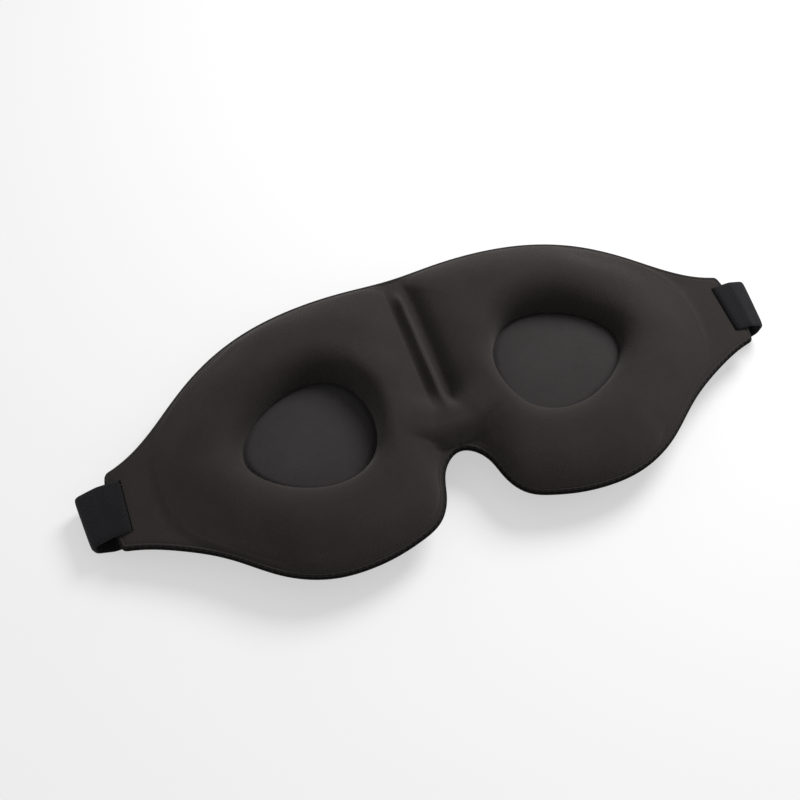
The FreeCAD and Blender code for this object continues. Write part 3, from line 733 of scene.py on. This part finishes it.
def webbing():
    """Plain-woven elastic: ribs of warp 0.9 mm wide along the band, crossed by finer picks of weft."""
    finish = Finish("webbing", 0.8, 0.08, (0.85, 0.85, 0.95), CLOTH_SPECULAR)
    along, across, _ = finish.attribute("weave")
    warp = (across * wave(rib_width)).sine()
    weft = (along * wave(pick_length)).sine()
    threads = warp.absolute() * 0.5 + warp * weft * 0.35 + 0.3
    tone = threads * 0.55 + finish.noise(260.0) * 0.4
    finish.colour((0.0038, 0.0035, 0.0038), (0.018, 0.0168, 0.0186), tone)
    finish.bump(threads, 0.22 * MM)
    return finish.material


def strap(name, corners, shift, skew, material, around=40):
    """Band with rounded selvedges along the corners' centre line: its section is |cos t|^0.35 wide and
    |sin t|^0.5 thick. Past the bar it is pulled askew, outwards by shift + skew * y / half width. Its weave
    attribute holds its own length and width."""
    line, travel = centre_line(corners)
    along = np.gradient(line, axis=0)
    along /= np.linalg.norm(along, axis=1)[:, None]
    normal = np.stack([-along[:, 1], along[:, 0]], 1)
    turn = np.linspace(0, 2 * math.pi, around, endpoint=False)
    y = strap_half_width * np.sign(np.cos(turn)) * np.abs(np.cos(turn)) ** 0.35
    thick = strap_half * np.sign(np.sin(turn)) * np.abs(np.sin(turn)) ** 0.5
    squeeze = np.ones(len(line))
    squeeze[[0, -1]] = 0.02
    offset = thick[None, :] * squeeze[:, None]
    x = line[:, :1] + normal[:, :1] * offset
    z = line[:, 1:] + normal[:, 1:] * offset
    beyond = smooth_step((np.abs(x) - bar_x) / (8 * MM))
    x = x + np.sign(x) * beyond * (shift + skew * y / strap_half_width)
    points = np.stack([x, np.broadcast_to(y, x.shape), z], -1).reshape(-1, 3)
    i, j = np.meshgrid(np.arange(len(line) - 1), np.arange(around), indexing="ij")
    here, beside = i * around + j, i * around + (j + 1) % around
    quads = np.stack([here, beside, beside + around, here + around], -1).reshape(-1, 4)
    piece = mesh_object(name, points, quads, material)
    weave = piece.data.attributes.new("weave", "FLOAT_VECTOR", "POINT")
    values = np.stack([np.broadcast_to(travel[:, None], x.shape), np.broadcast_to(y, x.shape), offset], -1)
    weave.data.foreach_set("vector", values.astype(np.float32).ravel())
    return piece


# The left half runs on from its loop to the slider's end bar, folds round it and is sewn back on itself.
strap_material = webbing()
slider_x, end_bar_offset = 2.0 * MM, 7.5 * MM
end_bar = slider_x - end_bar_offset
fold, fold_top, fold_bend = end_bar + 4.7 * MM, 6.6 * MM, 1.49 * MM
sewn = lower + 2 * strap_half
left_corners = [(-x, z, radius) for x, z, radius in loop_corners(left_reach)]
left_corners += [(fold, lower, fold_bend), (fold, fold_top, fold_bend),
                 (end_bar - 1.0 * MM, fold_top, 1.5 * MM), (end_bar - 5.0 * MM, sewn, 1.5 * MM),
                 (end_bar - 11.0 * MM, sewn, 0)]
left_strap = strap("left_strap", left_corners, -0.3 * MM, 0.9 * MM, strap_material)
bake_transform(left_strap)
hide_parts("strap_left_arm", "strap_left_rear")

# The right half drops a layer past its corner, slides through the slider and ends in its folded hem.
tail_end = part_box("strap_right_rear")[0][0]
hem_fold, hem_layer = tail_end + strap_half, lowest - 2 * strap_half
right_corners = loop_corners(right_reach)
right_corners += [(corner_x - 3 * MM, lower, bend), (corner_x - 8 * MM, lowest, bend),
                  (hem_fold, lowest, hem_bend), (hem_fold, hem_layer, hem_bend),
                  (tail_end + 8.0 * MM, hem_layer, 0)]
right_strap = strap("right_strap", right_corners, 0.0, 1.0 * MM, strap_material)
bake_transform(right_strap)
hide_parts("strap_right_arm", "strap_right_rear")


# --- Slider ------------------------------------------------------------------------------------------------
# The strap's adjuster, moulded in one piece from black plastic, with a fine satin grain. The webbing's
# friction on its bars holds it in place.
def moulded_plastic():
    """Black with faint cloudy patches, under a fine grain."""
    finish = Finish("slider_plastic", 0.42, specular=0.5)
    finish.colour((0.010, 0.010, 0.011), (0.022, 0.022, 0.024), finish.noise(180.0))
    finish.bump(finish.noise(2600.0, 2.0), 0.04 * MM)
    return finish.material


def dress(node, material):
    """Gives a CAD node its material."""
    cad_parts[node].data.materials.clear()
    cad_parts[node].data.materials.append(material)


dress("strap_slider", moulded_plastic())


# --- Thread ------------------------------------------------------------------------------------------------
# Twisted polyester, matt black, a shade lighter than the webbing that it holds. It closes both tab loops, the
# loop round the slider and the hem.
ply_length = 0.35 * MM


def thread_material():
    """Twisted plies: a wave of dark and light across the thread, raised where it is light."""
    finish = Finish("thread", 0.6, 0.2, (0.9, 0.9, 1.0), 0.35)
    x, y, _ = finish.split(finish.place())
    twist = ((x + y) * wave(ply_length)).sine() * 0.5 + 0.5
    finish.colour((0.020, 0.020, 0.022), (0.055, 0.054, 0.058), twist)
    finish.bump(twist, 0.06 * MM)
    return finish.material


thread = thread_material()
for seam in ("strap_left_stitches", "strap_right_stitches", "slider_stitches", "hem_stitches"):
    dress(seam, thread)


# --- Foam shell --------------------------------------------------------------------------------------------
# Charcoal polyurethane foam with fine open cells, moulded hot into the two domes. It holds the mask's shape
# between the lining and the outer cover.
def foam_material():
    """Open cells: dark in the middle of each and lighter on the walls between."""
    finish = Finish("foam", 0.95, specular=0.15)
    cell = finish.node("TexVoronoi", None, {"Vector": finish.place(), "Scale": 1600.0}, "Distance")
    finish.colour((0.020, 0.019, 0.019), (0.070, 0.067, 0.066), cell)
    finish.bump(cell, 0.2 * MM)
    return finish.material


dress("front_foam_shell", foam_material())


# --- Stage -------------------------------------------------------------------------------------------------
# Pale floor in a white room. To the camera it is half its own soft shadow and half plain white. It stays
# under the strap's rear run, which the mask lies on, also when the strap is opened.
room_light, floor_half, floor_white = 0.4, 3, 0.5


def white_rays(shader):
    """1 for the rays that show the white background: the camera's, and those by gloss or through glass."""
    seen, glossy, through = (shader.node("LightPath", output=ray)
                             for ray in ("Is Camera Ray", "Is Glossy Ray", "Is Transmission Ray"))
    return seen + glossy + through


def floor_material():
    """Near-white matt floor that keeps the shadow at half strength for the rays that see white."""
    finish = Finish("floor", 0.9, specular=0.0)
    finish.join((0.98, 0.98, 0.98, 1), finish.principled.inputs["Base Color"])
    white = finish.node("Emission", None, {"Strength": 1.0})
    shaded = Value(finish, finish.principled.outputs[0])
    mixed = finish.node("MixShader", None, {0: white_rays(finish) * floor_white, 1: shaded, 2: white})
    finish.join(mixed, finish.tree.nodes["Material Output"].inputs["Surface"])
    return finish.material


floor_mesh = bpy.data.meshes.new("floor")
floor_corners = [(-floor_half, -floor_half, 0), (floor_half, -floor_half, 0), (floor_half, floor_half, 0),
                 (-floor_half, floor_half, 0)]
floor_mesh.from_pydata(floor_corners, [], [(0, 1, 2, 3)])
floor_mesh.materials.append(floor_material())
ground = bpy.data.objects.new("floor", floor_mesh)
bpy.context.collection.objects.link(ground)
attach(ground, "strap_left_rear")

world = bpy.data.worlds.new("room")
world.use_nodes = True
room = Shader(world.node_tree)
background = room.tree.nodes["Background"]
room.join((1, 1, 1, 1), background.inputs["Color"])
room.join(white_rays(room) * (1 - room_light) + room_light, background.inputs["Strength"])
bpy.context.scene.world = world


def area_light(name, place, size, power, aim_at=(0, 0, 0.01)):
    """Round soft lamp at a place, facing aim_at."""
    data = bpy.data.lights.new(name, "AREA")
    data.shape, data.size, data.energy = "DISK", size, power
    light = bpy.data.objects.new(name, data)
    light.location = place
    back = np.array(place) - np.array(aim_at)
    light.rotation_euler = (math.atan2(math.hypot(back[0], back[1]), back[2]), 0,
                            math.atan2(back[0], -back[1]))
    bpy.context.collection.objects.link(light)


area_light("key", (0.30, 0.20, 0.38), 0.24, 2.26)

bpy.context.scene.view_settings.view_transform = "Standard"
